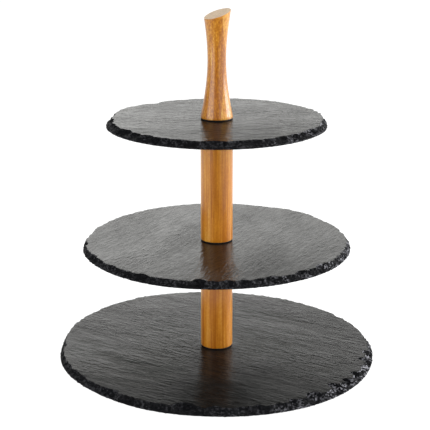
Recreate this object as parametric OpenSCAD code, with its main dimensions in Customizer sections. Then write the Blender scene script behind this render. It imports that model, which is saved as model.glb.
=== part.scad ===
// Three-tier cake stand: round slate plates clamped on a screwed bamboo column.
// The origin is on the table, at the centre of the footprint. +Z runs up the column.

/* [Plates] */
// Diameter of the bottom plate
bottom_plate_d = 300; // [260:5:340]
// Diameter of the middle plate
middle_plate_d = 250; // [210:5:255]
// Diameter of the top plate
top_plate_d = 200; // [140:5:205]
// Thickness of every plate
plate_t = 6; // [5:0.5:10]
// How far the chipped edge slopes inwards from the underside to the top face
edge_bevel = 5; // [1:0.5:8]
// Upright lip left below the sloping edge
edge_lip = 1.5; // [0.5:0.5:3]
// Clearance hole through the middle of each plate
plate_hole_d = 7; // [6.5:0.25:8]

/* [Posts] */
// Diameter of the bamboo posts
post_d = 30; // [26:1:40]
// Length of the post between the bottom and the middle plate
lower_post_h = 98; // [80:1:150]
// Length of the post between the middle and the top plate
upper_post_h = 108; // [80:1:150]
// Chamfer on the ends of the posts and on the foot of the handle
end_chamfer = 0.4; // [0.2:0.1:1]

/* [Handle] */
// Overall height of the handle, to the high side of its slanting top
handle_h = 99; // [80:0.5:130]
// Diameter at the foot of the handle
handle_foot_d = 30; // [26:1:36]
// Diameter at the narrowest place
handle_waist_d = 17; // [15:0.2:20]
// Height of the narrowest place
handle_waist_h = 54; // [40:1:60]
// Diameter at the top end
handle_top_d = 25.6; // [21:0.2:30]
// Slope of the slanting top
cut_slope = 19.5; // [0:0.5:30]
// Direction in which the slanting top rises, from +X towards +Y
cut_heading = 29; // [-180:1:180]

/* [Gaskets] */
// Outside diameter of the rubber rings between wood and slate
gasket_d = 30; // [26:0.5:40]
// Thickness of the rubber rings between wood and slate
gasket_t = 1; // [0.5:0.25:2]
// Thickness of the rubber washer under the bottom plate
base_gasket_t = 0.5; // [0.5:0.25:1]

/* [Fasteners] */
// Length of stud that stands in the threaded insert above it
engagement = 12; // [8:1:14]
// Depth that each stud is driven into the post below it
stud_depth = 20; // [12:1:30]
// Length of the threaded inserts
insert_h = 15; // [14:1:18]
// Outside diameter of the threaded inserts
insert_d = 10; // [9:0.5:11]
// Length of the screw under the bottom plate, from below its head
base_screw_l = 20; // [18:1:24]

/* [Feet] */
// Diameter of each foot where it is stuck to the plate
foot_d = 16; // [10:1:20]
// Height of the feet
foot_h = 5; // [4.5:0.5:8]
// Distance from the rim of the bottom plate in to the centre of a foot
foot_inset = 35; // [15:5:60]

/* [Hidden] */
$fn = 96;

// M6 hardware
thread_d = 6;
thread_clearance = 0.05;
thread_lead_in = 0.8;
insert_flange_d = 13;
insert_flange_t = 1;
insert_groove_depth = 0.4;
insert_groove_h = 1.2;
insert_groove_count = 3;
groove_cutter_margin = 1;
socket_wrench = 4;
socket_depth = 1.4;
screw_head_d = 12;
screw_head_h = 2;
washer_d = 18;
washer_hole_d = 6.4;
washer_t = 1;
base_gasket_d = 20;
gasket_hole_d = 8;
drill_extra = 3;
cut = 0.01;

// Heights of the stack, from the table up
bottom_plate_z = foot_h;
lower_post_z = bottom_plate_z + plate_t + gasket_t;
lower_post_top = lower_post_z + lower_post_h;
middle_plate_z = lower_post_top + gasket_t;
upper_post_z = middle_plate_z + plate_t + gasket_t;
upper_post_top = upper_post_z + upper_post_h;
top_plate_z = upper_post_top + gasket_t;
handle_z = top_plate_z + plate_t + gasket_t;
base_washer_z = bottom_plate_z - base_gasket_t - washer_t;

// Length of stud above the post that holds it: ring, plate, ring and thread engagement
stud_reach = 2 * gasket_t + plate_t + engagement;

// Turning of the handle
profile_steps = 12;
handle_axis_h = handle_h - tan(cut_slope) * handle_top_d / 2;

// Feet: small domed pads on a circle, one in each quarter
foot_circle_r = bottom_plate_d / 2 - foot_inset;
foot_edge_r = 1.5;
foot_edge_steps = 4;

slate_colour = [0.16, 0.16, 0.17];
bamboo_colour = [0.78, 0.56, 0.30];
rubber_colour = [0.05, 0.05, 0.05];
brass_colour = [0.80, 0.65, 0.30];
steel_colour = [0.70, 0.71, 0.72];

// Radius of the handle at height h: two quarter cosine sweeps that meet at the waist
function sweep(t) = 1 - cos(90 * t);
function handle_r(h) =
    h < handle_waist_h
        ? handle_waist_d / 2
            + (handle_foot_d - handle_waist_d) / 2 * sweep(1 - h / handle_waist_h)
        : handle_waist_d / 2
            + (handle_top_d - handle_waist_d) / 2
            * sweep((h - handle_waist_h) / (handle_h - handle_waist_h));

// A round slate with a drilled middle and an edge that is dressed to a slope
module slate_plate(d) {
    color(slate_colour)
    rotate_extrude()
    polygon([
        [plate_hole_d / 2, 0],
        [d / 2, 0],
        [d / 2, edge_lip],
        [d / 2 - edge_bevel, plate_t],
        [plate_hole_d / 2, plate_t]
    ]);
}

// A flat ring
module ring(outer_d, hole_d, t) {
    difference() {
        cylinder(d = outer_d, h = t);
        translate([0, 0, -cut])
        cylinder(d = hole_d, h = t + 2 * cut);
    }
}

module wood_gasket() {
    color(rubber_colour)
    ring(gasket_d, gasket_hole_d, gasket_t);
}

// The hole that takes a threaded insert, open at z = 0, with the tip of the stud's way above it
module insert_pocket() {
    translate([0, 0, -cut])
    cylinder(d = insert_d, h = insert_h + drill_extra + cut);
    translate([0, 0, -cut])
    cylinder(d = insert_flange_d, h = insert_flange_t + cut);
}

// A post: a chamfered rod with an insert pocket below and a stud hole above
module post(h) {
    color(bamboo_colour)
    difference() {
        rotate_extrude()
        polygon([
            [0, 0],
            [post_d / 2 - end_chamfer, 0],
            [post_d / 2, end_chamfer],
            [post_d / 2, h - end_chamfer],
            [post_d / 2 - end_chamfer, h],
            [0, h]
        ]);
        insert_pocket();
        translate([0, 0, h - stud_depth])
        cylinder(d = thread_d, h = stud_depth + cut);
    }
}

// The turned handle, waisted for the fingers and cut off at a slant
module turned_handle() {
    waist_part = [
        for (i = [1 : profile_steps])
            let (h = end_chamfer + (handle_waist_h - end_chamfer) * i / profile_steps)
            [handle_r(h), h]
    ];
    flare_part = [
        for (i = [1 : profile_steps])
            let (h = handle_waist_h + (handle_h - handle_waist_h) * i / profile_steps)
            [handle_r(h), h]
    ];
    color(bamboo_colour)
    difference() {
        rotate_extrude()
        polygon(concat(
            [[0, 0], [handle_foot_d / 2 - end_chamfer, 0]],
            [[handle_r(end_chamfer), end_chamfer]],
            waist_part,
            flare_part,
            [[0, handle_h]]
        ));
        insert_pocket();
        translate([0, 0, handle_axis_h])
        rotate([0, 0, cut_heading])
        rotate([0, -cut_slope, 0])
        translate([-handle_h / 2, -handle_h / 2, 0])
        cube(handle_h);
    }
}

// A flanged brass insert, grooved outside so that it holds in the wood
module threaded_insert() {
    color(brass_colour)
    difference() {
        union() {
            cylinder(d = insert_d, h = insert_h);
            cylinder(d = insert_flange_d, h = insert_flange_t);
        }
        translate([0, 0, -cut])
        cylinder(d = thread_d + 2 * thread_clearance, h = insert_h + 2 * cut);
        for (i = [1 : insert_groove_count])
            translate([0, 0, insert_flange_t + i * insert_h / (insert_groove_count + 2)])
            ring(
                insert_d + groove_cutter_margin,
                insert_d - 2 * insert_groove_depth,
                insert_groove_h
            );
    }
}

// A stud from its driven end, at z = 0, to a chamfered tip; its lower end is pointed
module stud() {
    point_h = thread_d;
    stud_l = stud_depth + stud_reach;
    color(steel_colour)
    rotate_extrude()
    polygon([
        [0, 0],
        [thread_d / 2, point_h],
        [thread_d / 2, stud_l - thread_lead_in],
        [thread_d / 2 - thread_lead_in, stud_l],
        [0, stud_l]
    ]);
}

// A low-headed screw with a hexagon socket; z = 0 is the underside of its head
module socket_screw() {
    color(steel_colour)
    difference() {
        union() {
            rotate_extrude()
            polygon([
                [0, screw_head_h - cut],
                [thread_d / 2, screw_head_h - cut],
                [thread_d / 2, screw_head_h + base_screw_l - thread_lead_in],
                [thread_d / 2 - thread_lead_in, screw_head_h + base_screw_l],
                [0, screw_head_h + base_screw_l]
            ]);
            rotate_extrude()
            polygon([
                [0, 0],
                [screw_head_d / 2 - end_chamfer, 0],
                [screw_head_d / 2, end_chamfer],
                [screw_head_d / 2, screw_head_h],
                [0, screw_head_h]
            ]);
        }
        translate([0, 0, -cut])
        cylinder(d = socket_wrench / cos(30), h = socket_depth + cut, $fn = 6);
    }
}

// A round rubber pad with a rounded lower edge
module foot(side_x, side_y) {
    edge = [
        for (i = [0 : foot_edge_steps])
            let (a = 90 * i / foot_edge_steps)
            [foot_d / 2 - foot_edge_r * (1 - sin(a)), foot_edge_r * (1 - cos(a))]
    ];
    color(rubber_colour)
    translate([side_x * foot_circle_r / sqrt(2), side_y * foot_circle_r / sqrt(2), 0])
    rotate_extrude()
    polygon(concat([[0, 0]], edge, [[foot_d / 2, foot_h], [0, foot_h]]));
}

module bottom_plate() {
    translate([0, 0, bottom_plate_z])
    slate_plate(bottom_plate_d);
}

module middle_plate() {
    translate([0, 0, middle_plate_z])
    slate_plate(middle_plate_d);
}

module top_plate() {
    translate([0, 0, top_plate_z])
    slate_plate(top_plate_d);
}

module lower_post() {
    translate([0, 0, lower_post_z])
    post(lower_post_h);
}

module upper_post() {
    translate([0, 0, upper_post_z])
    post(upper_post_h);
}

module handle() {
    translate([0, 0, handle_z])
    turned_handle();
}

module lower_post_gasket() {
    translate([0, 0, lower_post_z - gasket_t])
    wood_gasket();
}

module middle_plate_seat_gasket() {
    translate([0, 0, lower_post_top])
    wood_gasket();
}

module upper_post_gasket() {
    translate([0, 0, upper_post_z - gasket_t])
    wood_gasket();
}

module top_plate_seat_gasket() {
    translate([0, 0, upper_post_top])
    wood_gasket();
}

module handle_gasket() {
    translate([0, 0, handle_z - gasket_t])
    wood_gasket();
}

module lower_post_insert() {
    translate([0, 0, lower_post_z])
    threaded_insert();
}

module upper_post_insert() {
    translate([0, 0, upper_post_z])
    threaded_insert();
}

module handle_insert() {
    translate([0, 0, handle_z])
    threaded_insert();
}

module lower_post_stud() {
    translate([0, 0, lower_post_top - stud_depth])
    stud();
}

module upper_post_stud() {
    translate([0, 0, upper_post_top - stud_depth])
    stud();
}

module base_screw() {
    translate([0, 0, base_washer_z - screw_head_h])
    socket_screw();
}

module base_washer() {
    color(steel_colour)
    translate([0, 0, base_washer_z])
    ring(washer_d, washer_hole_d, washer_t);
}

module base_washer_gasket() {
    color(rubber_colour)
    translate([0, 0, bottom_plate_z - base_gasket_t])
    ring(base_gasket_d, plate_hole_d, base_gasket_t);
}

bottom_plate();
middle_plate();
top_plate();
lower_post();
upper_post();
handle();
lower_post_gasket();
middle_plate_seat_gasket();
upper_post_gasket();
top_plate_seat_gasket();
handle_gasket();
lower_post_insert();
upper_post_insert();
handle_insert();
lower_post_stud();
upper_post_stud();
base_screw();
base_washer();
base_washer_gasket();
foot(-1, -1);  // foot_front_left
foot(1, -1);  // foot_front_right
foot(-1, 1);  // foot_back_left
foot(1, 1);  // foot_back_right
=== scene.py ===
"""Three-tier cake stand: chipped slate plates clamped on a screwed bamboo column."""
import math
import random

import bpy
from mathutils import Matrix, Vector, noise


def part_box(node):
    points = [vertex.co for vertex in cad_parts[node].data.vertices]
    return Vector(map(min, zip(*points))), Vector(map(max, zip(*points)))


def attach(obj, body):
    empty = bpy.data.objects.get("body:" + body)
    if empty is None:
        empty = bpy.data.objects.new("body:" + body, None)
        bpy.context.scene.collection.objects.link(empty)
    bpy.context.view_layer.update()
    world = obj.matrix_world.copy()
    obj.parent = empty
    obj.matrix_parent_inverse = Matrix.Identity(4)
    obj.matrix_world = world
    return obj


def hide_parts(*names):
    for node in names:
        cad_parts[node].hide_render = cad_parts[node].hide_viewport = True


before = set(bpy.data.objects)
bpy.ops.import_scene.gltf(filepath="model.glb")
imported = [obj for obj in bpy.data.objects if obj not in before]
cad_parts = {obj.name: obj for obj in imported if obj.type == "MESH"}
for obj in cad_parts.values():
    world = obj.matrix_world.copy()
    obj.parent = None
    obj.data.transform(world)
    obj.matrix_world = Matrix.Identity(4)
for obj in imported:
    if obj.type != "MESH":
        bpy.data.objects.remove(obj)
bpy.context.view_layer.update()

MM = 0.001
TAU = 2 * math.pi


# ---------------------------------------------------------------- small helpers

def smoothstep(low, high, value):
    """0 below low, 1 above high, and a smooth rise between them."""
    t = min(1.0, max(0.0, (value - low) / (high - low)))
    return t * t * (3 - 2 * t)


def lerp(a, b, t):
    return a + (b - a) * t


def arc(centre_r, centre_z, radius, start, end, steps):
    """Profile points (r, z) on an arc, from start to end degrees."""
    points = []
    for i in range(steps + 1):
        angle = math.radians(lerp(start, end, i / steps))
        points.append((centre_r + radius * math.cos(angle), centre_z + radius * math.sin(angle)))
    return points


def new_piece(name, verts, faces, materials, body, nodes, face_slots=None, flat_slots=()):
    """A mesh object that rides on a body and stands for CAD nodes."""
    mesh = bpy.data.meshes.new(name)
    mesh.from_pydata(verts, [], faces)
    for material in materials:
        mesh.materials.append(material)
    smooth = [True] * len(faces)
    if face_slots is not None:
        mesh.polygons.foreach_set("material_index", face_slots)
        smooth = [s not in flat_slots for s in face_slots]
    mesh.polygons.foreach_set("use_smooth", smooth)
    piece = bpy.data.objects.new(name, mesh)
    bpy.context.scene.collection.objects.link(piece)
    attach(piece, body)
    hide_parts(*nodes)
    return piece


def join_rings(rings, segments, closed):
    """Faces between rings of vertex numbers. A ring of one number is a pole on the axis."""
    faces = []
    pairs = list(zip(rings, rings[1:]))
    if closed:
        pairs.append((rings[-1], rings[0]))
    for lower, upper in pairs:
        for j in range(segments):
            k = (j + 1) % segments
            if len(lower) == 1:
                faces.append((lower[0], upper[k], upper[j]))
            elif len(upper) == 1:
                faces.append((lower[j], lower[k], upper[0]))
            else:
                faces.append((lower[j], lower[k], upper[k], upper[j]))
    return faces


def lathe(profile, segments, centre=(0.0, 0.0), closed=False, radius_at=None):
    """Vertices and faces of a profile of (r, z) turned about a vertical axis.

    The profile runs anticlockwise seen with r to the right and z up, so that faces look out.
    radius_at(r, z, angle) can change the radius, for a thread or a hexagon.
    """
    verts = []
    rings = []
    for r, z in profile:
        if r == 0:
            rings.append([len(verts)])
            verts.append((centre[0], centre[1], z))
            continue
        ring = []
        for j in range(segments):
            angle = TAU * j / segments
            radius = radius_at(r, z, angle) if radius_at else r
            ring.append(len(verts))
            verts.append((centre[0] + radius * math.cos(angle), centre[1] + radius * math.sin(angle), z))
        rings.append(ring)
    return verts, join_rings(rings, segments, closed)


def mark_sharp(piece, degrees):
    piece.data.set_sharp_from_angle(angle=math.radians(degrees))


# ---------------------------------------------------------------- node helpers

class Shader:
    """A material with a Principled shader and short ways to add nodes to it."""

    def __init__(self, name, **sockets):
        self.material = bpy.data.materials.new(name)
        self.material.use_nodes = True
        self.nodes = self.material.node_tree.nodes
        self.links = self.material.node_tree.links
        self.surface = self.nodes["Principled BSDF"]
        for key, value in sockets.items():
            self.surface.inputs[key.replace("_", " ")].default_value = value
        self.coordinates = self.nodes.new("ShaderNodeTexCoord")
        self.object_place = self.coordinates.outputs["Object"]
        self.object_normal = self.coordinates.outputs["Normal"]

    def link(self, output, socket):
        if isinstance(output, (int, float, tuple)):
            socket.default_value = output
        else:
            self.links.new(output, socket)

    def math(self, operation, a, b=0.0, clamp=False):
        node = self.nodes.new("ShaderNodeMath")
        node.operation = operation
        node.use_clamp = clamp
        self.link(a, node.inputs[0])
        self.link(b, node.inputs[1])
        return node.outputs[0]

    def turned(self, heading, stretch):
        """The object's own place, turned by heading and then stretched along each axis."""
        turn = self.nodes.new("ShaderNodeVectorRotate")
        turn.rotation_type = "Z_AXIS"
        turn.inputs["Angle"].default_value = -math.radians(heading)
        self.link(self.object_place, turn.inputs["Vector"])
        scale = self.nodes.new("ShaderNodeVectorMath")
        scale.operation = "MULTIPLY"
        scale.inputs[1].default_value = stretch
        self.link(turn.outputs[0], scale.inputs[0])
        return scale.outputs[0]

    def moved(self, vector, offset):
        add = self.nodes.new("ShaderNodeVectorMath")
        add.operation = "ADD"
        self.link(vector, add.inputs[0])
        add.inputs[1].default_value = offset
        return add.outputs[0]

    def noise(self, vector, scale, detail=3.0, roughness=0.55, distortion=0.0):
        node = self.nodes.new("ShaderNodeTexNoise")
        node.inputs["Scale"].default_value = scale
        node.inputs["Detail"].default_value = detail
        node.inputs["Roughness"].default_value = roughness
        node.inputs["Distortion"].default_value = distortion
        self.link(vector, node.inputs["Vector"])
        return node.outputs[0]

    def cells(self, vector, scale):
        node = self.nodes.new("ShaderNodeTexVoronoi")
        node.inputs["Scale"].default_value = scale
        self.link(vector, node.inputs["Vector"])
        return node

    def ramp(self, value, stops):
        """A colour ramp from a list of (place, colour or grey)."""
        node = self.nodes.new("ShaderNodeValToRGB")
        elements = node.color_ramp.elements
        while len(elements) < len(stops):
            elements.new(0.5)
        for element, (place, colour) in zip(elements, stops):
            grey = (colour, colour, colour) if isinstance(colour, (int, float)) else colour
            element.position = place
            element.color = (*grey, 1.0)
        self.link(value, node.inputs[0])
        return node.outputs[0]

    def mix(self, factor, a, b, blend="MIX"):
        node = self.nodes.new("ShaderNodeMix")
        node.data_type = "RGBA"
        node.blend_type = blend
        self.link(factor, node.inputs["Factor"])
        for value, socket in ((a, node.inputs[6]), (b, node.inputs[7])):
            self.link((*value, 1.0) if isinstance(value, tuple) else value, socket)
        return node.outputs[2]

    def bump(self, height, distance, strength=1.0, under=None):
        node = self.nodes.new("ShaderNodeBump")
        node.inputs["Strength"].default_value = strength
        node.inputs["Distance"].default_value = distance
        self.link(height, node.inputs["Height"])
        if under is not None:
            self.link(under, node.inputs["Normal"])
        return node.outputs[0]

    def set(self, **sockets):
        for key, output in sockets.items():
            self.link(output, self.surface.inputs[key.replace("_", " ")])
        return self.material


# ---------------------------------------------------------------- materials

def slate_face_material(plate, offset, height):
    """Riven slate, oiled: cleft lines along the grain, over lumps, with a dull shine and some haze.

    offset moves the patterns, so that no two slates look alike. height is the level of the face,
    where the plate's dusty place and its place of sunk oil lie.
    """
    s = Shader(plate.node + "_riven_slate", IOR=1.28)
    grain = plate.grain
    darkest, palest = (0.0022, 0.0022, 0.0021), (0.0110, 0.0110, 0.0106)
    haze_colour = (0.060, 0.060, 0.058)
    least_rough = 0.09
    fine_depth = 0.035 * MM
    calm = s.noise(s.moved(s.turned(grain, (9.0, 26.0, 20.0)), offset), 1.0, 2.0)
    calm = s.ramp(calm, [(0.36, 0.25), (0.62, 1.0)])
    cleft_place = s.turned(grain, (1 / plate.cleft_size[0], 1 / plate.cleft_size[1], 200.0))
    clefts = s.noise(s.moved(cleft_place, offset), 1.0, 3.0, 0.6, 0.7)
    line_shine = s.ramp(clefts, [(0.32, 0.32), (0.68, 0.68)])
    clefts = s.math("MULTIPLY", clefts, calm)
    lump_place = s.turned(grain, (1 / plate.lumps_size[0], 1 / plate.lumps_size[1], 100.0))
    lumps = s.noise(s.moved(lump_place, offset), 1.0, 3.0, 0.6)
    fine = s.noise(s.moved(s.turned(grain, (420.0, 900.0, 900.0)), offset), 1.0, 2.0, 0.5)
    patches = s.noise(s.moved(s.turned(grain + 25, (16.0, 30.0, 20.0)), offset), 1.0, 3.0, 0.55)
    tone = s.math("ADD", s.math("MULTIPLY", lumps, 0.6), s.math("MULTIPLY", patches, 0.4))
    colour = s.ramp(tone, [(0.36, darkest), (0.66, palest)])
    haze = s.ramp(s.math("ADD", s.math("MULTIPLY", patches, 0.65), s.math("MULTIPLY", lumps, 0.35)),
                  [(0.45, 0.0), (0.66, 1.0)])

    def near(x, y, radius):
        """1 at a place on the plate, fading to 0 at the radius."""
        apart = s.nodes.new("ShaderNodeVectorMath")
        apart.operation = "DISTANCE"
        s.link(s.object_place, apart.inputs[0])
        apart.inputs[1].default_value = (x, y, height)
        return s.ramp(s.math("DIVIDE", apart.outputs["Value"], radius), [(0.15, 1.0), (1.0, 0.0)])

    uneven = s.math("ADD", s.math("MULTIPLY", lumps, 1.2), 0.4)
    dust_and_glint_mask = s.math("MULTIPLY", near(*plate.dusty[:3]), uneven)
    haze = s.math("MULTIPLY", haze, plate.haze)
    haze = s.math("ADD", haze, s.math("MULTIPLY", dust_and_glint_mask, plate.dusty[3]))
    blotchy = s.math("ADD", s.math("MULTIPLY", patches, 0.3), 0.85)
    sunk = s.math("MULTIPLY", near(*plate.oily[:3]), blotchy)
    kept = s.math("SUBTRACT", 1.0, s.math("MULTIPLY", sunk, plate.oily[3]), clamp=True)
    shine = s.math("MULTIPLY", line_shine, kept)
    colour = s.mix(haze, colour, haze_colour)
    rough = s.math("ADD", s.math("MULTIPLY", patches, 0.14), s.math("MULTIPLY", fine, 0.08))
    rough = s.math("ADD", rough, s.math("MULTIPLY", haze, 0.35))
    rough = s.math("ADD", rough, least_rough)
    surface = s.bump(clefts, plate.relief[0])
    surface = s.bump(lumps, plate.relief[1], 1.0, surface)
    surface = s.bump(fine, fine_depth, 1.0, surface)
    return s.set(Base_Color=colour, Roughness=rough, Specular_IOR_Level=shine, Normal=surface)


def slate_edge_material(name):
    """Freshly broken slate: nearly black and dull, with painted glints as pale specks in the colour, most of
    them to the right, where the light falls.
    """
    s = Shader(name, IOR=1.5, Specular_IOR_Level=0.08)
    darkest, palest = (0.0012, 0.0013, 0.0018), (0.0052, 0.0055, 0.0070)
    # Pale colour of the painted glints: specks of highlight painted into the base colour.
    painted_glint_colour = (0.235, 0.235, 0.26)
    least_glint = 0.13
    layers = s.noise(s.turned(0, (260.0, 260.0, 1300.0)), 1.0, 3.0, 0.6)
    lumps = s.noise(s.object_place, 650.0, 4.0, 0.62)
    facets = s.cells(s.object_place, 640.0)
    # Painted glints: cells of pale colour that stand for small facets catching the light.
    glint_cells = s.ramp(facets.outputs["Color"], [(0.58, 0.0), (0.74, 1.0)])
    split = s.nodes.new("ShaderNodeSeparateXYZ")
    s.link(s.object_place, split.inputs[0])
    # Painted light: the glints grow denser towards +X, the side where the light falls.
    lit_right_side = s.ramp(s.math("ADD", s.math("MULTIPLY", split.outputs[0], 4.0), 0.30),
                       [(0.42, 0.0), (0.80, 1.0)])
    # Patches where the painted glints gather, thinned away from the lit right side.
    dust_and_glint_mask = s.ramp(s.noise(s.object_place, 75.0, 2.0), [(0.36, 0.0), (0.56, 1.0)])
    dust_and_glint_mask = s.math("MULTIPLY", dust_and_glint_mask, s.math("ADD", s.math("MULTIPLY", lit_right_side, 1 - least_glint), least_glint))
    painted_glint_amount = s.math("MULTIPLY", glint_cells, dust_and_glint_mask)
    dark = s.ramp(lumps, [(0.35, darkest), (0.72, palest)])
    # Mixes the painted glints into the dark base colour.
    colour = s.mix(painted_glint_amount, dark, painted_glint_colour)
    rough = s.math("SUBTRACT", 0.62, s.math("MULTIPLY", painted_glint_amount, 0.25))
    surface = s.bump(lumps, 0.9 * MM)
    surface = s.bump(layers, 0.4 * MM, 1.0, surface)
    surface = s.bump(facets.outputs["Distance"], 0.5 * MM, 0.8, surface)
    return s.set(Base_Color=colour, Roughness=rough, Normal=surface)


def bamboo_material(name, heading, offset, tones, strip, coat, rough, figure):
    """Laminated bamboo: glued strips, long fibres, cloudy patches and flecks, and dotted end grain.

    strip is the width and depth of one strip, in metres. figure is how strongly it is flecked.
    """
    s = Shader(name, IOR=1.5, Specular_IOR_Level=0.2, Coat_Roughness=0.17, Coat_IOR=1.6)
    turned = s.moved(s.turned(heading, (1.0, 1.0, 1.0)), offset)
    waver = s.noise(s.turned(heading, (30.0, 30.0, 9.0)), 1.0, 1.0)
    split = s.nodes.new("ShaderNodeSeparateXYZ")
    s.link(turned, split.inputs[0])
    wavy_x = s.math("ADD", split.outputs[0], s.math("MULTIPLY", waver, 0.9 * MM))
    column = s.math("FLOOR", s.math("DIVIDE", wavy_x, strip[0]))
    row = s.math("FLOOR", s.math("DIVIDE", split.outputs[1], strip[1]))
    cell = s.nodes.new("ShaderNodeCombineXYZ")
    s.link(column, cell.inputs[0])
    s.link(row, cell.inputs[1])
    strip_noise = s.nodes.new("ShaderNodeTexWhiteNoise")
    s.link(cell.outputs[0], strip_noise.inputs["Vector"])
    strip_tone = strip_noise.outputs["Value"]
    fibres = s.noise(s.turned(heading, (620.0, 620.0, 9.0)), 1.0, 4.0, 0.62)
    bundles = s.noise(s.turned(heading, (1900.0, 1900.0, 38.0)), 1.0, 2.0, 0.5)
    clouds = s.noise(s.turned(heading, (70.0, 70.0, 16.0)), 1.0, 2.0)
    flecks = s.noise(s.turned(heading, (700.0, 700.0, 430.0)), 1.0, 2.0, 0.7)
    tone = s.math("ADD", s.math("MULTIPLY", strip_tone, 0.36), s.math("MULTIPLY", fibres, 0.62))
    tone = s.math("ADD", tone, s.math("MULTIPLY", s.math("SUBTRACT", clouds, 0.5), 0.6))
    tone = s.math("ADD", tone, s.math("MULTIPLY", s.math("SUBTRACT", bundles, 0.5), 0.4))
    tone = s.math("ADD", tone, s.math("MULTIPLY", s.math("SUBTRACT", flecks, 0.5), figure))
    side = s.ramp(tone, [(0.22, tones[0]), (0.48, tones[1]), (0.78, tones[2])])
    within = s.math("FRACT", s.math("DIVIDE", wavy_x, strip[0]))
    seam = s.ramp(s.math("ABSOLUTE", s.math("SUBTRACT", within, 0.5)), [(0.455, 0.0), (0.495, 1.0)])
    side = s.mix(s.math("MULTIPLY", seam, 0.45), side, tones[0])
    end_dots = s.cells(turned, 1100.0).outputs["Distance"]
    end_tone = s.math("ADD", end_dots, s.math("MULTIPLY", strip_tone, 0.35))
    end = s.ramp(end_tone, [(0.15, tones[3]), (0.75, tones[4])])
    normal = s.nodes.new("ShaderNodeSeparateXYZ")
    s.link(s.object_normal, normal.inputs[0])
    is_end = s.ramp(s.math("ABSOLUTE", normal.outputs[2]), [(0.72, 0.0), (0.84, 1.0)])
    colour = s.mix(is_end, side, end)
    lacquer = s.math("MULTIPLY", s.math("SUBTRACT", 1.0, is_end), coat)
    roughness = s.math("ADD", s.math("MULTIPLY", fibres, 0.16), rough - 0.08)
    surface = s.bump(fibres, 0.10 * MM)
    surface = s.bump(bundles, 0.04 * MM, 1.0, surface)
    return s.set(Base_Color=colour, Roughness=roughness, Coat_Weight=lacquer, Normal=surface)


def rubber_material(name, grey, rough):
    """Moulded black rubber with a fine powdery skin."""
    s = Shader(name, IOR=1.5, Specular_IOR_Level=0.2)
    skin = s.noise(s.object_place, 1800.0, 3.0, 0.6)
    wear = s.noise(s.object_place, 160.0, 3.0)
    colour = s.ramp(wear, [(0.35, grey), (0.75, grey * 2.4)])
    roughness = s.math("ADD", s.math("MULTIPLY", skin, 0.25), rough - 0.12)
    return s.set(Base_Color=colour, Roughness=roughness, Normal=s.bump(skin, 0.05 * MM))


def metal_material(name, dark, light, rough):
    """Turned metal: fine rings from the tool, slightly tarnished."""
    s = Shader(name, Metallic=1.0)
    turning = s.noise(s.turned(0, (40.0, 40.0, 9000.0)), 1.0, 2.0)
    tarnish = s.noise(s.object_place, 420.0, 3.0)
    colour = s.ramp(tarnish, [(0.30, dark), (0.62, light)])
    roughness = s.math("ADD", s.math("MULTIPLY", tarnish, 0.20), rough - 0.08)
    return s.set(Base_Color=colour, Roughness=roughness, Normal=s.bump(turning, 0.02 * MM))


# Bamboo tones: dark fibre, common, pale strip, then the dark and the pale of the end grain
POST_TONES = ((0.37, 0.108, 0.004), (0.56, 0.212, 0.013), (0.76, 0.43, 0.085),
              (0.20, 0.075, 0.015), (0.45, 0.24, 0.085))
HANDLE_TONES = ((0.27, 0.078, 0.003), (0.50, 0.192, 0.010), (0.74, 0.455, 0.088),
                (0.47, 0.34, 0.22), (0.68, 0.52, 0.36))

slate_edge = slate_edge_material("broken_slate")
post_bamboo = bamboo_material("post_bamboo", 8, (2.1 * MM, 4.0 * MM, 0.0), POST_TONES,
                              (5.4 * MM, 60 * MM), 0.46, 0.42, 0.28)
handle_bamboo = bamboo_material("handle_bamboo", -20, (23.7 * MM, 0.0, 0.0), HANDLE_TONES,
                                (6.5 * MM, 60 * MM), 0.62, 0.42, 0.70)
ring_rubber = rubber_material("ring_rubber", 0.006, 0.55)
foot_rubber = rubber_material("foot_rubber", 0.010, 0.60)
brass = metal_material("brass", (0.42, 0.26, 0.09), (0.78, 0.56, 0.24), 0.30)
steel = metal_material("zinc_steel", (0.42, 0.42, 0.43), (0.70, 0.70, 0.70), 0.28)


# ---------------------------------------------------------------- slate plates

UNDERSIDE, BROKEN, FACE = 0, 1, 2  # the three surfaces of a slate


class Plate:
    """How one slate was split and dressed. The comment above PLATES explains each value."""

    def __init__(self, node, body, segments, grain, cleft_size, lumps_size, haze, relief,
                 dusty, oily, dressing, flakes, nicks, bulges, pits, seed, spare):
        self.node = node
        self.body = body
        self.segments = segments
        self.grain = grain
        self.cleft_size = cleft_size
        self.lumps_size = lumps_size
        self.haze = haze
        self.relief = relief
        self.dusty = dusty
        self.oily = oily
        self.dressing = dressing
        self.flakes = flakes
        self.nicks = nicks
        self.bulges = bulges
        self.pits = pits
        self.seed = seed
        self.spare = spare


def away(heading, centre):
    """Degrees between two headings."""
    return abs((heading - centre + 180) % 360 - 180)


def edge_flakes(plate, radius):
    """All the flakes struck off the rim: small ones all round, then the named large ones.

    Each is (heading, half width, bite, scarp, lean): lean sets which side is the steeper.
    """
    rng = random.Random(plate.seed)
    toward, strength_opposite, strength_there = plate.dressing[2:]
    flakes = []
    for smallest, largest in ((0.8, 2.0), (1.8, 4.5), (3.0, 7.0)):
        heading = rng.uniform(0, 5)
        while heading < 360.0:
            half_width = rng.uniform(smallest, largest)
            turned_away = smoothstep(20, 120, away(heading, toward))
            strength = lerp(strength_there, strength_opposite, turned_away)
            bite = rng.uniform(0.35, 0.95) * half_width * strength
            scarp = rng.uniform(0.8, 2.8)
            flakes.append((heading, half_width * MM, bite * MM, scarp * MM, rng.uniform(-0.6, 0.6)))
            heading += math.degrees(half_width * MM / radius) * rng.uniform(1.2, 2.6)
    for heading, half_width, bite, scarp in plate.flakes:
        flakes.append((heading, half_width * MM, bite * MM, scarp * MM, rng.uniform(-0.5, 0.5)))
    return flakes


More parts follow.
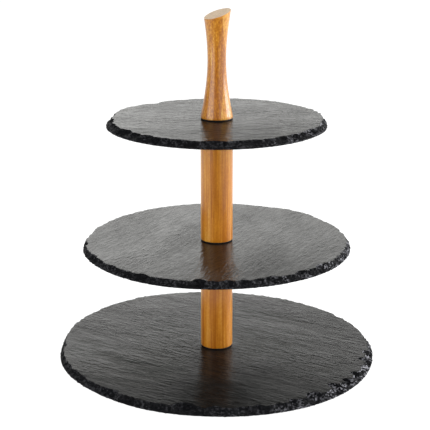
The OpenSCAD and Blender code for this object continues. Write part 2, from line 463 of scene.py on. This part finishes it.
def flake_at(flakes, heading, radius):
    """(bite, scarp) of the deepest flake at a heading."""
    best = (0.0, 0.6 * MM)
    for centre, half_width, bite, scarp, lean in flakes:
        x = ((heading - centre + 180) % 360 - 180) * math.radians(1) * radius / half_width
        if -1 < x < 1:
            x = x + lean * (x * x - 1) / 2
            depth = bite * (1 - x * x) ** 0.55
            if depth > best[0]:
                best = (depth, scarp * (0.6 + 0.4 * (1 - x * x)))
    return best


def round_noise(angle, fineness, seed):
    """Noise that closes on itself round the rim."""
    return noise.noise(Vector((math.cos(angle) * fineness, math.sin(angle) * fineness, seed * 7.3)))


def cleft_depth(x, y, plate):
    """How far the riven face lies below its highest level: long ripples along the grain."""
    h = math.radians(plate.grain)
    along = x * math.cos(h) + y * math.sin(h)
    across = -x * math.sin(h) + y * math.cos(h)
    bend = 7 * MM * noise.noise(Vector((along / 0.08, across / 0.06, plate.seed)))
    ripple = noise.noise(Vector((along / 0.035, (across + bend) / 0.0052, plate.seed + 3.7)))
    swell = noise.noise(Vector((along / 0.09, (across + bend) / 0.030, plate.seed + 9.1)))
    depth = 0.035 * MM * (1 + ripple) + 0.14 * MM * (1 + swell)
    for pit_x, pit_y, size, deep in plate.pits:
        off = math.hypot(x - pit_x * MM, (y - pit_y * MM) * 0.7) / (size * MM)
        depth += deep * MM * max(0.0, 1 - off * off)
    return depth


def slate_piece(plate, face_material):
    """One slate: a closed grid of rings round a small hole, with a knapped rim."""
    low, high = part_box(plate.node)
    radius = (high.x - low.x) / 2
    thickness = high.z - low.z
    hole_radius = 3.5 * MM
    flat_radius = 15.5 * MM
    slope_steps = 8
    top_step = 2.0 * MM
    under_rings = 12
    top_rings = round(radius / top_step)
    flakes = edge_flakes(plate, radius)
    mean, swing, toward = plate.dressing[:3]
    columns = []
    for j in range(plate.segments):
        angle = TAU * j / plate.segments
        heading = math.degrees(angle)
        facing = 0.5 + 0.5 * math.cos(angle - math.radians(toward))
        bite, scarp = flake_at(flakes, heading, radius)
        ragged = 0.5 * MM * round_noise(angle, radius / (1.7 * MM), plate.seed)
        ragged += 0.5 * MM * round_noise(angle, radius / (6 * MM), plate.seed + 1)
        width = (mean + swing * (2 * facing - 1)) * MM + bite + ragged
        width = max(0.5 * MM, width)
        rim = radius + plate.spare * MM + 0.5 * MM * round_noise(angle, 3.1, plate.seed + 5)
        rim -= 0.6 * MM * abs(round_noise(angle, radius / (5 * MM), plate.seed + 8))
        rim -= 0.6 * MM * abs(round_noise(angle, radius / (1.5 * MM), plate.seed + 11))
        for centre, half_width, amount in plate.bulges:
            x = min(1.0, away(heading, centre) / half_width)
            rim += amount * MM * math.cos(math.pi / 2 * x) ** 2
        for centre, half_width, depth in plate.nicks:
            x = math.radians(away(heading, centre)) * radius / (half_width * MM)
            rim -= depth * MM * max(0.0, 1 - x) ** 0.7
        lip = (1.4 + 1.0 * round_noise(angle, radius / (4 * MM), plate.seed + 2)) * MM
        bowl = (0.15 + 0.7 * abs(round_noise(angle, radius / (7 * MM), plate.seed + 4))) * MM
        scarp = min(scarp, thickness - lip - 1.0 * MM)
        crest = rim - width
        profile = []
        for i in range(under_rings):
            r = lerp(hole_radius, rim - 0.5 * MM, (i / (under_rings - 1)) ** 0.8)
            profile.append((r, low.z, UNDERSIDE))
        profile.append((rim - 0.1 * MM, low.z + 0.4 * MM, BROKEN))
        profile.append((rim - 0.1 * MM, low.z + lip, BROKEN))
        for i in range(1, slope_steps):
            t = i / slope_steps
            z = lerp(low.z + lip, high.z - scarp, t) - bowl * math.sin(math.pi * t)
            profile.append((lerp(rim - 0.1 * MM, crest, t), z, BROKEN))
        profile.append((crest, high.z - scarp, BROKEN))
        profile.append((crest - 0.2 * MM, high.z - 0.5 * scarp, BROKEN))
        profile.append((crest - 0.35 * MM, high.z - 0.05 * MM, FACE))
        for i in range(1, top_rings + 1):
            r = lerp(crest - 0.35 * MM, hole_radius, i / top_rings)
            profile.append((r, high.z, FACE))
        columns.append(profile)
    rows = len(columns[0])
    verts = []
    for i in range(rows):
        for j in range(plate.segments):
            r, z, kind = columns[j][i]
            angle = TAU * j / plate.segments
            if kind == BROKEN:
                place = Vector((r * math.cos(angle), r * math.sin(angle), z * 1.6))
                coarse = place / (2.6 * MM) + Vector((0, 0, plate.seed))
                small = place / (1.1 * MM) + Vector((0, 0, plate.seed))
                r += 0.40 * MM * noise.noise(coarse) + 0.25 * MM * noise.noise(small)
                coarse += Vector((31.0, 17.0, 5.0))
                small += Vector((31.0, 17.0, 5.0))
                z += 0.50 * MM * noise.noise(coarse) + 0.28 * MM * noise.noise(small)
                z = min(high.z - 0.05 * MM, max(low.z, z))
            x = r * math.cos(angle)
            y = r * math.sin(angle)
            level = smoothstep(flat_radius, flat_radius + 9 * MM, r)
            if kind == FACE:
                z -= level * cleft_depth(x, y, plate)
            elif kind == UNDERSIDE:
                z += 0.5 * level * cleft_depth(y, -x, plate)
            verts.append((x, y, z))
    n = plate.segments
    rings = [[i * n + j for j in range(n)] for i in range(rows)]
    faces = join_rings(rings, n, True)
    first_edge = under_rings - 1
    last_edge = under_rings + slope_steps + 3
    face_slots = []
    for i in range(rows):
        face_slots += [1 if first_edge <= i < last_edge else 0] * n
    piece = new_piece(plate.node + "_slate", verts, faces, [face_material, slate_edge], plate.body,
                      [plate.node], face_slots, (1,))
    mark_sharp(piece, 30)


# Headings are in degrees from +X (to the right), and -90 is the front.
# grain: the heading of the clefts. cleft_size, lumps_size: length and width of a cleft and a lump.
# relief: the depth of the fine clefts and of the lumps. haze: how much haze lies on the whole face.
# dusty: (x, y, radius, added haze). oily: (x, y, radius, share of the shine that is lost).
# Lengths down to here are in metres, and from here on in mm.
# dressing: mean bevel, swing, heading of the widest side, then the small flakes' strength opposite
# that side and on it.
# flakes: (heading, half width, bite, scarp). nicks: (heading, half width, depth).
# bulges: (heading, half width in degrees, amount), as no slate is cut truly round.
# pits: (x, y, size, depth). spare: how far the ragged outline stands proud before it is cut back.
PLATES = [
    Plate("bottom_plate", "base", segments=760, grain=-31, seed=21, spare=0.35,
          cleft_size=(16 * MM, 3.0 * MM), lumps_size=(9 * MM, 4 * MM),
          relief=(0.56 * MM, 0.07 * MM), haze=0.03,
          dusty=(-0.115, 0.0, 0.11, 0.05), oily=(0.0, -0.12, 0.16, 0.92),
          dressing=(1.9, 1.9, -80, 0.45, 0.85),
          flakes=[(-8, 5, 7, 3.0), (-15, 5, 10, 3.4), (-29, 5, 8, 3.0), (-36, 4, 8, 3.2),
                  (-43, 6, 12, 3.6), (-54, 9, 10, 3.2), (-63, 5, 7, 2.6), (-76, 7, 5, 2.4),
                  (-91, 8, 6, 2.6), (-101, 12, 10, 3.4), (-130, 9, 5, 2.4), (-152, 10, 3, 2.2)],
          nicks=[],
          bulges=[(128, 50, 8.0), (160, 22, 2.2), (44, 52, -2.2), (-55, 50, 3.2), (-138, 30, -1.8)],
          pits=[(-19.0, 1.0, 5.0, 0.45)]),
    Plate("middle_plate", "middle_tier", segments=640, grain=64, seed=34, spare=0.85,
          cleft_size=(13 * MM, 3.0 * MM), lumps_size=(8 * MM, 3.5 * MM),
          relief=(0.42 * MM, 0.24 * MM), haze=0.14,
          dusty=(-0.06, 0.03, 0.10, 0.03), oily=(0.055, -0.085, 0.11, 0.50),
          dressing=(1.5, 1.5, -80, 0.45, 0.8),
          flakes=[(-40, 8, 6, 3.0), (-52, 6, 6, 2.6), (-67, 8, 6, 2.4), (-97, 7, 8, 2.8),
                  (-122, 7, 5, 2.4), (-156, 7, 3.5, 2.2), (-12, 5, 2.6, 2.6)],
          nicks=[(38, 2.6, 1.6)],
          bulges=[(50, 22, 4.6), (92, 48, 3.6), (122, 12, 1.0), (153, 16, -1.6), (-110, 45, 0.9)],
          pits=[]),
    Plate("top_plate", "top_tier", segments=512, grain=6, seed=47, spare=1.65,
          cleft_size=(14 * MM, 3.6 * MM), lumps_size=(10 * MM, 6 * MM),
          relief=(0.58 * MM, 0.90 * MM), haze=0.08,
          dusty=(-0.05, 0.05, 0.08, 0.03), oily=(0.025, -0.075, 0.11, 0.75),
          dressing=(2.8, 3.0, -100, 0.45, 0.9),
          flakes=[(-30, 6, 4, 2.6), (-45, 7, 3.5, 2.4), (-73, 9, 4, 2.2), (-110, 9, 3.5, 2.2),
                  (-146, 8, 5, 2.4)],
          nicks=[(18, 2.6, 1.2)],
          bulges=[(22, 16, 2.2), (62, 50, 2.8), (151, 22, 3.0), (129, 8, -3.4), (-80, 55, 1.3)],
          pits=[]),
]

for number, plate in enumerate(PLATES):
    pattern_offset = (number * 5.3, 1.7, 0.4)
    face = slate_face_material(plate, pattern_offset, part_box(plate.node)[1].z)
    slate_piece(plate, face)


# ---------------------------------------------------------------- bamboo column

def post_piece(node, body):
    """A round post with eased ends, a pocket for its insert below and a stud hole above."""
    low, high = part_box(node)
    radius = (high.x - low.x) / 2
    ease = 0.5 * MM
    pocket_depth = 18 * MM
    pocket_radius = 5 * MM
    flange_depth = 1 * MM
    flange_radius = 6.5 * MM
    stud_radius = 3 * MM
    stud_depth = 20 * MM
    side_rings = 24
    profile = [(0, low.z + pocket_depth), (pocket_radius, low.z + pocket_depth),
               (pocket_radius, low.z + flange_depth), (flange_radius, low.z + flange_depth),
               (flange_radius, low.z)]
    profile += arc(radius - ease, low.z + ease, ease, -90, 0, 4)
    for i in range(1, side_rings):
        profile.append((radius, lerp(low.z + ease, high.z - ease, i / side_rings)))
    profile += arc(radius - ease, high.z - ease, ease, 0, 90, 4)
    profile += [(stud_radius, high.z), (stud_radius, high.z - stud_depth), (0, high.z - stud_depth)]
    verts, faces = lathe(profile, 160)
    piece = new_piece(node + "_bamboo", verts, faces, [post_bamboo], body, [node])
    mark_sharp(piece, 40)


def handle_piece():
    """The waisted handle: a lathe form whose top rings lean over to meet the slanting cut."""
    low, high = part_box("handle")
    height = high.z - low.z
    foot_radius = 15 * MM
    waist_radius = 8.5 * MM
    top_radius = 12.8 * MM
    waist_height = 54 * MM
    slope = math.tan(math.radians(19.5))
    heading = math.radians(29)
    axis_height = height - slope * top_radius
    ease = 0.5 * MM
    edge_ease = 0.45 * MM
    segments = 160

    def radius_at(h):
        if h < waist_height:
            sweep = 1 - math.cos(math.pi / 2 * (1 - h / waist_height))
            return waist_radius + (foot_radius - waist_radius) * sweep
        sweep = 1 - math.cos(math.pi / 2 * (h - waist_height) / (height - waist_height))
        return waist_radius + (top_radius - waist_radius) * sweep

    def cut_height(angle):
        h = axis_height
        for _ in range(12):
            h = axis_height + slope * radius_at(h) * math.cos(angle - heading)
        return h

    tops = [cut_height(TAU * j / segments) for j in range(segments)]
    inner = [(0, 18 * MM), (5 * MM, 18 * MM), (5 * MM, 1 * MM), (6.5 * MM, 1 * MM), (6.5 * MM, 0)]
    inner += arc(radius_at(ease) - ease, ease, ease, -90, 0, 4)
    waist_rings = 26
    flare_rings = 26
    cap_scales = (0.86, 0.6, 0.3)
    verts = []
    rings = []

    def add_ring(points):
        rings.append(list(range(len(verts), len(verts) + len(points))))
        verts.extend(points)

    for r, z in inner:
        count = 1 if r == 0 else segments
        add_ring([(r * math.cos(TAU * j / segments), r * math.sin(TAU * j / segments), low.z + z)
                  for j in range(count)])
    for i in range(1, waist_rings + 1):
        h = lerp(ease, waist_height, i / waist_rings)
        r = radius_at(h)
        add_ring([(r * math.cos(TAU * j / segments), r * math.sin(TAU * j / segments), low.z + h)
                  for j in range(segments)])
    for i in range(1, flare_rings + 1):
        points = []
        for j in range(segments):
            angle = TAU * j / segments
            h = lerp(waist_height, tops[j] - edge_ease, i / flare_rings)
            r = radius_at(h)
            points.append((r * math.cos(angle), r * math.sin(angle), low.z + h))
        add_ring(points)
    for turn in (30, 60, 90):
        points = []
        for j in range(segments):
            angle = TAU * j / segments
            rim = radius_at(tops[j])
            r = rim - edge_ease * (1 - math.cos(math.radians(turn)))
            h = tops[j] - edge_ease * (1 - math.sin(math.radians(turn)))
            h -= slope * (rim - r) * math.cos(angle - heading)
            points.append((r * math.cos(angle), r * math.sin(angle), low.z + h))
        add_ring(points)
    for scale in cap_scales:
        points = []
        for j in range(segments):
            angle = TAU * j / segments
            r = scale * (radius_at(tops[j]) - edge_ease)
            h = axis_height + slope * r * math.cos(angle - heading)
            points.append((r * math.cos(angle), r * math.sin(angle), low.z + h))
        add_ring(points)
    add_ring([(0.0, 0.0, low.z + axis_height)])
    faces = join_rings(rings, segments, False)
    piece = new_piece("handle_bamboo", verts, faces, [handle_bamboo], "grip",
                      ["handle"])
    mark_sharp(piece, 45)


post_piece("lower_post", "lower_column")
post_piece("upper_post", "upper_column")
handle_piece()


# ---------------------------------------------------------------- rings, washers and feet

def flat_ring_piece(node, body, hole_radius, ease, material):
    """A flat ring with rounded edges, for a gasket or a washer."""
    low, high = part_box(node)
    inset = 0.4 * MM  # in from the CAD outline, as the rings hardly show in the photograph
    radius = (high.x - low.x) / 2 - inset
    ease = min(ease, (high.z - low.z) / 2)
    profile = arc(radius - ease, low.z + ease, ease, -90, 0, 4)
    profile += arc(radius - ease, high.z - ease, ease, 0, 90, 4)
    profile += [(hole_radius + 0.1 * MM, high.z), (hole_radius, high.z - 0.1 * MM),
                (hole_radius, low.z + 0.1 * MM), (hole_radius + 0.1 * MM, low.z)]
    verts, faces = lathe(profile, 96, closed=True)
    piece = new_piece(node + "_ring", verts, faces, [material], body, [node])
    mark_sharp(piece, 50)


for node, body in (("lower_post_gasket", "lower_post_ring"),
                   ("middle_plate_seat_gasket", "lower_column"),
                   ("upper_post_gasket", "upper_post_ring"),
                   ("top_plate_seat_gasket", "upper_column"),
                   ("handle_gasket", "handle_ring")):
    flat_ring_piece(node, body, 4 * MM, 0.45 * MM, ring_rubber)
flat_ring_piece("base_washer_gasket", "base", 3.5 * MM, 0.2 * MM, ring_rubber)
flat_ring_piece("base_washer", "base", 3.2 * MM, 0.25 * MM, steel)


def foot_piece(node):
    """A round rubber pad with a rounded edge and a shallow moulded ring on its sole."""
    low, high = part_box(node)
    centre = ((low.x + high.x) / 2, (low.y + high.y) / 2)
    radius = (high.x - low.x) / 2
    ease = 1.4 * MM
    profile = [(0, low.z + 0.3 * MM), (0.45 * radius, low.z + 0.3 * MM), (0.55 * radius, low.z)]
    profile += arc(radius - ease, low.z + ease, ease, -90, 0, 6)
    profile += [(radius, high.z - 0.2 * MM), (radius - 0.2 * MM, high.z), (0, high.z)]
    verts, faces = lathe(profile, 64, centre)
    piece = new_piece(node + "_pad", verts, faces, [foot_rubber], "base", [node])
    mark_sharp(piece, 40)


for node in ("foot_front_left", "foot_front_right", "foot_back_left", "foot_back_right"):
    foot_piece(node)


# ---------------------------------------------------------------- threaded hardware

def thread_radius(core, depth, pitch, start):
    """radius_at for lathe: a right-hand thread cut into a rod."""
    def radius_at(r, z, angle):
        place = ((z - start) / pitch - angle / TAU) % 1.0
        ridge = min(1.0, max(0.0, 2.6 * (0.5 - abs(place - 0.5)) * 2 - 0.8))
        return min(r, core + depth * ridge)
    return radius_at


def stud_piece(node, body):
    """A hanger bolt: a pointed wood thread below and an M6 thread above."""
    low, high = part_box(node)
    major = 3 * MM
    driven = 20 * MM
    point = 6 * MM
    lead = 0.8 * MM
    step = 0.125 * MM
    wood_thread = thread_radius(2.1 * MM, 0.9 * MM, 2.5 * MM, low.z)
    metric_thread = thread_radius(2.4 * MM, 0.6 * MM, 1.0 * MM, low.z)

    def radius_at(r, z, angle):
        if z < low.z + driven - 2 * MM:
            return wood_thread(r, z, angle)
        return metric_thread(r, z, angle)

    profile = [(0, low.z)]
    rows = round((high.z - low.z) / step)
    for i in range(1, rows):
        z = lerp(low.z, high.z, i / rows)
        r = min(major, major * (z - low.z) / point + 0.2 * MM, major - lead + (high.z - z))
        profile.append((r, z))
    profile += [(major - lead, high.z), (0, high.z)]
    verts, faces = lathe(profile, 40, radius_at=radius_at)
    piece = new_piece(node + "_threaded", verts, faces, [steel], body, [node])
    mark_sharp(piece, 50)


def base_screw_piece():
    """A low-headed M6 screw with a hexagon socket, pointing up into the lower post."""
    low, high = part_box("base_screw")
    major = 3 * MM
    head_radius = (high.x - low.x) / 2
    head_top = low.z + 2 * MM
    socket_half_width = 2 * MM
    socket_depth = 1.4 * MM
    ease = 0.4 * MM
    lead = 0.8 * MM
    step = 0.125 * MM
    metric_thread = thread_radius(2.4 * MM, 0.6 * MM, 1.0 * MM, head_top)
    hexagon_r = 2.1 * MM  # marks the profile points that radius_at turns into the hexagon

    def radius_at(r, z, angle):
        if r == hexagon_r:
            return socket_half_width / math.cos((angle + math.pi / 6) % (math.pi / 3) - math.pi / 6)
        return metric_thread(r, z, angle) if z > head_top + 0.5 * MM else r

    profile = [(0, low.z + socket_depth), (hexagon_r, low.z + socket_depth),
               (hexagon_r, low.z + 0.1 * MM), (2.6 * MM, low.z)]
    profile += arc(head_radius - ease, low.z + ease, ease, -90, 0, 4)
    profile += [(head_radius, head_top - 0.15 * MM), (head_radius - 0.15 * MM, head_top),
                (major, head_top)]
    rows = round((high.z - head_top) / step)
    for i in range(1, rows):
        z = lerp(head_top, high.z, i / rows)
        profile.append((min(major, major - lead + (high.z - z)), z))
    profile += [(major - lead, high.z), (0, high.z)]
    verts, faces = lathe(profile, 48, radius_at=radius_at)
    piece = new_piece("base_screw_socket_head", verts, faces, [steel], "base", ["base_screw"])
    mark_sharp(piece, 40)


stud_piece("lower_post_stud", "lower_column")
stud_piece("upper_post_stud", "upper_column")
base_screw_piece()

for node in ("lower_post_insert", "upper_post_insert", "handle_insert"):
    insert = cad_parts[node]
    insert.data.materials.clear()
    insert.data.materials.append(brass)


# ---------------------------------------------------------------- studio

def add_floor():
    """A white tabletop, softly lit from below as well, that ends in front of the stand."""
    front, back, side = -0.42, 9.0, 9.0
    verts = [(-side, front, 0), (side, front, 0), (side, back, 0), (-side, back, 0)]
    mesh = bpy.data.meshes.new("floor")
    mesh.from_pydata(verts, [], [(0, 1, 2, 3)])
    floor = bpy.data.objects.new("floor", mesh)
    bpy.context.scene.collection.objects.link(floor)
    s = Shader("floor_acrylic", Roughness=0.9, Specular_IOR_Level=0.0, Emission_Strength=1.0)
    s.surface.inputs["Base Color"].default_value = (0.22, 0.22, 0.22, 1.0)
    s.surface.inputs["Emission Color"].default_value = (1.0, 1.0, 1.0, 1.0)
    mesh.materials.append(s.material)


def add_softbox(name, place, target, width, height, radiance):
    """A rectangular light that shines on target with the given brightness."""
    light = bpy.data.lights.new(name, "AREA")
    light.shape = "RECTANGLE"
    light.size = width
    light.size_y = height
    light.energy = radiance * math.pi * width * height
    box = bpy.data.objects.new(name, light)
    box.location = place
    box.rotation_euler = (Vector(target) - Vector(place)).to_track_quat("-Z", "Y").to_euler()
    box.visible_camera = False
    bpy.context.scene.collection.objects.link(box)


def add_surroundings():
    """A white room: brightest low behind the stand, dimly lit above, plain white to the camera."""
    world = bpy.data.worlds.new("studio")
    bpy.context.scene.world = world
    world.use_nodes = True
    nodes = world.node_tree.nodes
    links = world.node_tree.links
    coordinates = nodes.new("ShaderNodeTexCoord")
    split = nodes.new("ShaderNodeSeparateXYZ")
    links.new(coordinates.outputs["Generated"], split.inputs[0])

    def spread(value, low, high, start, end):
        """start where value is low, end where it is high, and smooth between."""
        node = nodes.new("ShaderNodeMapRange")
        node.interpolation_type = "SMOOTHSTEP"
        for index, number in enumerate((low, high, start, end)):
            node.inputs[index + 1].default_value = number
        links.new(value, node.inputs[0])
        return node.outputs[0]

    full_level = nodes.new("ShaderNodeValue").outputs[0]
    full_level.default_value = 2.46

    def combine(a, operation, b):
        node = nodes.new("ShaderNodeMath")
        node.operation = operation
        links.new(a, node.inputs[0])
        links.new(b, node.inputs[1])
        return node.outputs[0]

    behind = spread(split.outputs[1], 0.45, 0.90, 0.30, 1.0)
    leftward = spread(split.outputs[0], -0.14, 0.14, 1.14, 0.87)
    by_height = nodes.new("ShaderNodeValToRGB")
    bands = ((0.00, 0.18), (0.08, 0.40), (0.19, 0.60), (0.265, 1.00), (0.295, 0.87),
             (0.32, 0.86), (0.345, 0.80), (0.373, 0.76), (0.390, 0.01))
    stops = by_height.color_ramp.elements
    while len(stops) < len(bands):
        stops.new(0.5)
    for stop, (z, level) in zip(stops, bands):
        stop.position = z
        stop.color = (level, level, level, 1.0)
    links.new(split.outputs[2], by_height.inputs[0])
    low_band = combine(combine(behind, "MULTIPLY", leftward), "MULTIPLY",
                       combine(by_height.outputs[0], "MULTIPLY", full_level))
    overhead = spread(split.outputs[2], 0.62, 0.85, 0.0, 0.34)
    strength = combine(low_band, "ADD", overhead)
    background = nodes["Background"]
    links.new(strength, background.inputs["Strength"])
    background.inputs["Color"].default_value = (1.0, 0.998, 0.975, 1)
    plain = nodes.new("ShaderNodeBackground")
    plain.inputs["Color"].default_value = (1, 1, 1, 1)
    path = nodes.new("ShaderNodeLightPath")
    choose = nodes.new("ShaderNodeMixShader")
    links.new(path.outputs["Is Camera Ray"], choose.inputs[0])
    links.new(background.outputs[0], choose.inputs[1])
    links.new(plain.outputs[0], choose.inputs[2])
    links.new(choose.outputs[0], nodes["World Output"].inputs["Surface"])


def add_camera():
    """The camera stands in front of the column, above the handle, and looks down at it."""
    distance = 1.1138
    height = 0.4617
    aside = -0.0016
    pitch = 16.07
    camera_data = bpy.data.cameras.new("camera")
    camera_data.sensor_width = 36.0
    camera_data.lens = 103.4
    camera = bpy.data.objects.new("camera", camera_data)
    camera.location = (aside, -distance, height)
    camera.rotation_euler = (math.radians(90 - pitch), 0, 0)
    bpy.context.scene.collection.objects.link(camera)
    bpy.context.scene.camera = camera


add_floor()
add_surroundings()
middle = (0.0, 0.0, 0.17)
add_softbox("front_left_softbox", (-1.25, -1.02, 0.40), middle, 1.55, 1.15, 3.2)
add_softbox("front_right_panel", (1.28, -1.00, 0.30), middle, 2.1, 1.1, 1.45)
add_softbox("right_softbox", (1.46, 0.36, 0.57), middle, 1.3, 0.72, 10.6)
add_softbox("high_front_softbox", (0.35, -1.15, 1.55), middle, 1.4, 1.0, 4.6)
add_camera()
bpy.context.scene.view_settings.view_transform = "Standard"
